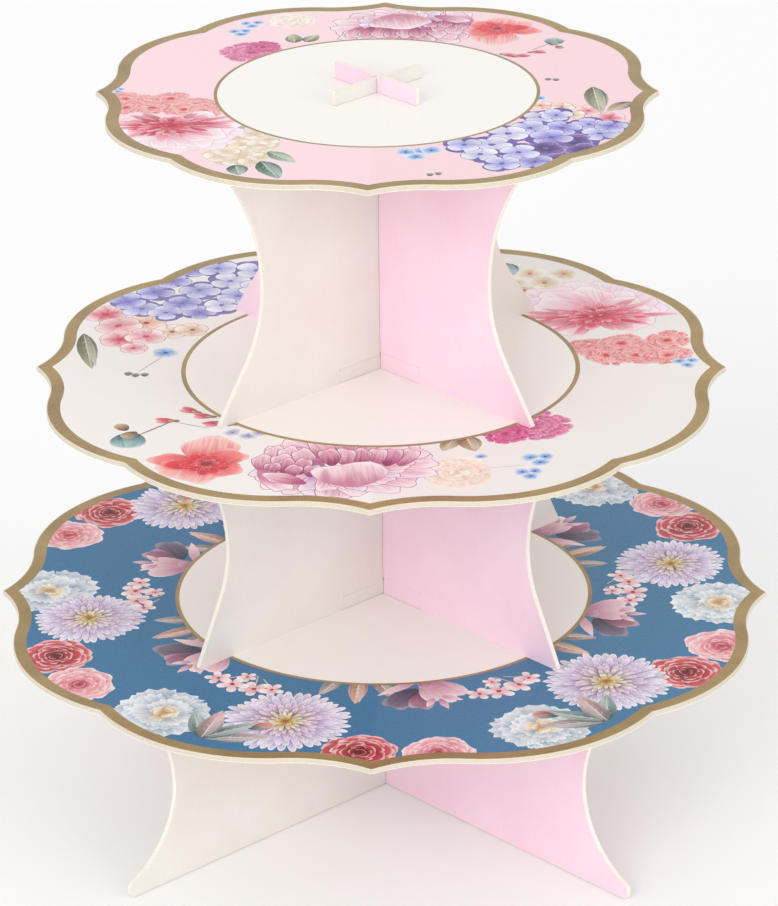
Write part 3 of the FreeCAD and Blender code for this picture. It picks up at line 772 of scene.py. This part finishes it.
def top_print(sheet):
    """The middle print's bouquets again, smaller and turned half round, on pale pink."""
    # back: peony, poppy, buds, peach flower, blues and carnation
    full_rose(sheet, -36, 84, 9, (PEACH, CREAM, CREAM), ruffle, 20)
    little_blues(sheet, -52, 80, 3.0, 2.5)
    little_blues(sheet, -56, 70, 3.0, 2.5)
    Brush(sheet, -34, 57, 95).leaf((0, 0), 0, 11, 7, OLIVE, (206, 206, 170))
    Brush(sheet, -30, 58, 60).leaf((0, 0), 0, 10, 6, OLIVE, (206, 206, 170))
    cup_peony(Brush(sheet, 10, 74, 180), 0.84)
    poppy(Brush(sheet, 45, 74, 180), 0.8)
    bud(Brush(sheet, 67, 58, 240), 0.72, TEAL, UMBER, (146, 112, 92))
    for x, y, bearing in ((58, 45, 10), (47, 43, 340), (52, 40, 20)):
        red_bud(Brush(sheet, x, y, bearing), 0.8)
    carnation(sheet, -50, 46, 13.5, ((188, 30, 106), (248, 160, 198)), MAGENTA, 0, 0.9)
    carnation(sheet, -46, 52, 7.5, MAGENTA, MAGENTA, 20)

    # left: coral band, pale peony, cream head and leaves
    for x, y, radius in (
        (-48, -52, 6), (-52, -62, 6.5), (-44, -66, 6.5), (-50, -74, 6.5), (-41, -58, 5.5),
        (-56, -70, 6), (-43, -76, 5.5),
    ):
        pair = ((0, 0, radius, "ivory"), (3, 4, radius * 0.8, "ivory"))
        hydrangea(sheet, x, y, pair, {"ivory": IVORY}, (230, 206, 176))
    Brush(sheet, -40, -76, 292).leaf((0, 0), 0, 20, 9, GREEN, (190, 206, 190))
    pale_green = ((104, 130, 108), (196, 210, 190))
    Brush(sheet, -38, -66, 312).leaf((0, 0), 0, 16, 7, pale_green, (214, 220, 206))
    Brush(sheet, -49, -80, 280).leaf((0, 0), 0, 11, 8, GREEN, (190, 206, 190))
    Brush(sheet, -53, -33, 300).leaf((0, 0), 0, 10, 5, OLIVE, (206, 206, 180))
    band = ((-68, -14), (-78, -8), (-88, -12), (-95, -8), (-84, -18), (-72, -20), (-94, -18), (-64, -22))
    frilled_band(sheet, band, 9.0, ((220, 74, 88), (255, 208, 204)), CORAL)
    cloud_peony(sheet, -76, -38, 8, 0.92, ((170, 0, 44), (234, 60, 96)))

    # right: hydrangea over pink blossoms, leaves, blue flowers and berries
    for x, y, radius, inks in (
        (88, -30, 6.5, BLUSH), (92, -38, 6.5, BLUSH_PALE), (86, -44, 6, BLUSH), (80, -22, 6, BLUSH_PALE),
        (70, -18, 5, CREAM), (62, -16, 4.5, PEACH), (74, -26, 5, CREAM), (90, -48, 5, BLUSH_PALE),
    ):
        blossom(sheet, x, y, radius, inks, (186, 70, 80), 5, 11 * x, 1.0, 0.25, BLUSH_LINE)
    florets = (
        (22, 16, 6.5, "lilac"), (4, 24, 7, "white"), (12, 12, 8, "violet"), (0, 12, 8, "lilac"),
        (26, 6, 7.5, "lilac"), (16, -2, 8, "purple"), (20, -12, 7.5, "purple"), (8, 2, 8, "violet"),
        (6, -10, 8, "purple"), (12, -22, 7.5, "purple"), (2, -24, 7.5, "violet"), (-8, 6, 8.5, "white"),
        (-14, -6, 8.5, "white"), (-4, -14, 8, "lilac"), (-18, -16, 7.5, "white"), (-10, -26, 7.5, "lilac"),
        (-24, -6, 7, "lilac"), (10, 26, 6.5, "lilac"), (30, 14, 6.5, "violet"),
    )
    hydrangea(sheet, 58, -53, florets, FLORETS, (104, 88, 172))
    little_blues(sheet, 16, -68, 4.2, 3.6)
    blossom(sheet, 22, -65, 4.4, SKY, (40, 60, 130))
    Brush(sheet, 82, 5, 275).leaf((0, 0), 0, 29, 9, OLIVE, (214, 210, 180))
    Brush(sheet, 96, -12, 230).leaf((0, 0), 0, 14, 7, UMBER, (206, 196, 170))
    for x, y in ((65, 12), (68, 11.5), (22, -92), (25, -91)):
        Brush(sheet, x, y).petal(egg, (0, 0), 90, 3.2, 3, ((88, 84, 96), (168, 160, 166)))
    blossom(sheet, 62, -8, 3.0, SKY, (40, 60, 130))
    little_blues(sheet, -99, 2, 2.0, 1.6)


# ----------------------------------------------------------------------- plate outlines

# Shares of the distance from the middle to a point, and a lobe's bearing, as in the CAD plates.
KINK_SHARE, LOBE_SHARE, LOBE_BEARING, HOLLOW_SHARE = 0.972, 1.0125, 29.5, 0.36

# Millimetres: the plain margin outside the gold band, and the band.
MARGIN, BAND_WIDTH = 0.35, 4.9

# Millimetres: the tabs' reach of 22.5 and half of a 2 mm board, each with 0.2 of play.
SLOT_REACH, SLOT_HALF = 22.7, 1.2


def scallop(reach, inset):
    """The plate's outline as radii by bearing, moved inwards by the inset."""
    kink, crown = KINK_SHARE * reach, LOBE_SHARE * reach
    gap = math.radians(45 - LOBE_BEARING)
    across = crown - kink * math.cos(gap)
    lobe_radius = (crown**2 + kink**2 - 2 * crown * kink * math.cos(gap)) / (2 * across)
    lobe = polar(crown - lobe_radius, LOBE_BEARING)
    hollow_radius = HOLLOW_SHARE * reach
    run = Vector((reach, 0)) - lobe
    both = hollow_radius + lobe_radius
    along = (both**2 - hollow_radius**2 + run.length**2) / (2 * run.length)
    unit = run.normalized()
    hollow = lobe + along * unit + math.sqrt(both**2 - along**2) * Vector((-unit.y, unit.x))
    joint = lobe + (hollow - lobe).normalized() * (lobe_radius - inset)
    joint_bearing = math.degrees(math.atan2(joint.y, joint.x))
    outline = []
    for bearing in range(360):
        folded = abs((bearing + 45) % 90 - 45)
        ray = polar(1, folded)
        if folded < joint_bearing:
            middle = ray.dot(hollow)
            radius = middle - math.sqrt(middle**2 - hollow.length_squared + (hollow_radius + inset) ** 2)
        else:
            middle = ray.dot(lobe)
            radius = middle + math.sqrt(middle**2 - lobe.length_squared + (lobe_radius - inset) ** 2)
        outline.append(polar(radius, bearing))
    return outline


def circle(radius):
    return [polar(radius, 2 * step) for step in range(180)]


def crossed_slot():
    """The X-shaped slot in the middle of a plate."""
    arm = [(SLOT_REACH, -SLOT_HALF), (SLOT_REACH, SLOT_HALF), (SLOT_HALF, SLOT_HALF)]
    turns = [Matrix.Rotation(math.radians(45 + 90 * i), 2) for i in range(4)]
    return [turn @ Vector(corner) for turn in turns for corner in arm]


# -------------------------------------------------------------------- sheets as meshes

RIM, BAND, FIELD = 0, 1, 2  # numbers of a sheet's first three shapes
MARGIN_INK = (232, 224, 206)
DISC_INK = (251, 248, 242)


def plate_sheet(tier, ring_radius, ring_width, field_ink, field_shade, draw, seed, materials):
    """The printed facing of a plate, cut to its outline, with the drawing pressed flat into it."""
    facing = f"{tier}_plate_facing"
    low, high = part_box(facing)
    reach = high[0] / MM
    sheet = Sheet(seed)
    sheet.add(scallop(reach, 0.0), (MARGIN_INK, MARGIN_INK), hand=(0, 0, 0.1))
    sheet.add(scallop(reach, MARGIN), (MARGIN_INK, MARGIN_INK))
    sheet.add(scallop(reach, MARGIN + BAND_WIDTH), (field_ink, field_shade), hand=(0, 0, 0))
    draw(sheet)
    ring_number = len(sheet.shapes)
    sheet.add(circle(ring_radius), (MARGIN_INK, MARGIN_INK))
    sheet.add(circle(ring_radius - ring_width), (DISC_INK, DISC_INK), hand=(0, 0, 0.1))
    slot_number = len(sheet.shapes)
    sheet.add(crossed_slot(), (DISC_INK, DISC_INK))

    points, loops = [], []
    for outline, *_ in sheet.shapes:
        loops.append(list(range(len(points), len(points) + len(outline))))
        points += outline
    verts, _, faces, _, _, covers = delaunay_2d_cdt(points, [], loops, 0, 1e-6, True)

    bm = bmesh.new()
    shape_layer = bm.faces.layers.int.new("shape")
    corners = [bm.verts.new((v.x * MM, v.y * MM, high[2])) for v in verts]
    for face, cover in zip(faces, covers):
        if RIM not in cover or slot_number in cover:
            continue
        made = bm.faces.new([corners[i] for i in face])
        made[shape_layer] = max(cover) if FIELD in cover else max(c for c in cover if c < FIELD)
        made.material_index = int(made[shape_layer] in (BAND, ring_number))
    bmesh.ops.delete(bm, geom=[v for v in bm.verts if not v.link_faces], context="VERTS")
    edges = [edge for edge in bm.edges if edge.is_boundary]
    wall = bmesh.ops.extrude_edge_only(bm, edges=edges)["geom"]
    bottom = [item for item in wall if isinstance(item, bmesh.types.BMVert)]
    bmesh.ops.translate(bm, verts=bottom, vec=(0, 0, low[2] - high[2]))
    bottom_edges = [item for item in wall if isinstance(item, bmesh.types.BMEdge) and item.is_boundary]
    bmesh.ops.triangle_fill(bm, edges=bottom_edges, use_beauty=True)
    bmesh.ops.recalc_face_normals(bm, faces=bm.faces)
    mesh = bpy.data.meshes.new(f"{tier}_floral_sheet")
    bm.to_mesh(mesh)
    bm.free()
    ink_corners(mesh, sheet.shapes)

    piece = bpy.data.objects.new(mesh.name, mesh)
    scene.collection.objects.link(piece)
    for material in materials:
        mesh.materials.append(material)
    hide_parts(facing)
    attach(piece, f"{tier}_plate")


def ink_corners(mesh, shapes):
    """Stores each shape's inks, hand and own coordinates on the corners of its faces."""
    totals = np.empty(len(mesh.polygons), dtype=int)
    mesh.polygons.foreach_get("loop_total", totals)
    numbers = np.empty(len(mesh.polygons), dtype=int)
    mesh.attributes["shape"].data.foreach_get("value", numbers)
    shape = np.repeat(numbers, totals)
    corner_verts = np.empty(len(mesh.loops), dtype=int)
    mesh.loops.foreach_get("vertex_index", corner_verts)
    places = np.empty(3 * len(mesh.vertices))
    mesh.vertices.foreach_get("co", places)
    at = places.reshape(-1, 3)[corner_verts, :2] / MM

    root = np.array([tuple(s[2]) for s in shapes])[shape]
    along = np.array([tuple(s[3]) for s in shapes])[shape]
    across = np.array([tuple(s[4]) for s in shapes])[shape]
    turned = along[:, 0] * across[:, 1] - along[:, 1] * across[:, 0]
    off = at - root
    u = (off[:, 0] * across[:, 1] - off[:, 1] * across[:, 0]) / turned
    v = (along[:, 0] * off[:, 1] - along[:, 1] * off[:, 0]) / turned
    number = np.array([s[6] for s in shapes])[shape] * 40
    store(mesh, "petal", "FLOAT_VECTOR", np.column_stack((u, v, number)))
    store(mesh, "hand", "FLOAT_VECTOR", np.array([s[5] for s in shapes], dtype=float)[shape])
    for name, end in (("root_ink", 0), ("tip_ink", 1)):
        colours = np.array([(*s[1][end], 1.0) for s in shapes])[shape]
        store(mesh, name, "FLOAT_COLOR", colours)


def store(mesh, name, kind, values):
    field = mesh.attributes.new(name, kind, "CORNER")
    property_name = "color" if kind == "FLOAT_COLOR" else "vector"
    field.data.foreach_set(property_name, values.astype(np.float32).ravel())


# ----------------------------------------------------------------------------- assembly


def dress(node_name, material):
    """Gives a CAD node its material."""
    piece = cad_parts[node_name]
    piece.data.materials.clear()
    piece.data.materials.append(material)


def main():
    make_camera()
    make_studio()

    cream = paper("cream_paper", (235, 233, 227), (229, 224, 215), 0.45)
    pink = paper("pink_paper", (252, 224, 238), (248, 212, 230), 0.45)
    plain = paper("plain_paper", (250, 247, 240), (240, 234, 224), 0.55)
    # The plates' cut edges get darker plies than the panels' edges: partly the board's own tone, partly
    # painted shade that dims the plates' rims.
    level_edge_own_tone_and_painted_shade = card_edge("level_card_edge_own_tone_and_painted_shade", (0.0, 0.0, 1.0), (224, 216, 198), (186, 174, 148))
    half = math.sqrt(0.5)
    pale, grey = (250, 246, 236), (224, 214, 194)
    edges = {
        "cream": card_edge("cream_card_edge", (half, -half, 0.0), pale, grey),
        "pink": card_edge("pink_card_edge", (half, half, 0.0), pale, grey),
    }
    for tier in ("base", "middle", "top"):
        for colour, face in (("cream", cream), ("pink", pink)):
            dress(f"{tier}_{colour}_core", edges[colour])
            dress(f"{tier}_{colour}_facing", face)
            dress(f"{tier}_{colour}_backing", face)
    for tier in ("bottom", "middle", "top"):
        dress(f"{tier}_plate_core", level_edge_own_tone_and_painted_shade)
        dress(f"{tier}_plate_backing", plain)

    prints = [printed_paper(), gold_foil()]
    # The tier, the gold ring's radius and width in mm, the field's two inks, the drawing and its seed.
    plate_sheet("bottom", 82.9, 1.6, (56, 118, 161), (66, 124, 164), bottom_print, 11, prints)
    plate_sheet("middle", 77.7, 1.8, (247, 244, 241), (243, 239, 235), middle_print, 12, prints)
    plate_sheet("top", 62.0, 1.3, (253, 222, 228), (251, 217, 223), top_print, 13, prints)


main()
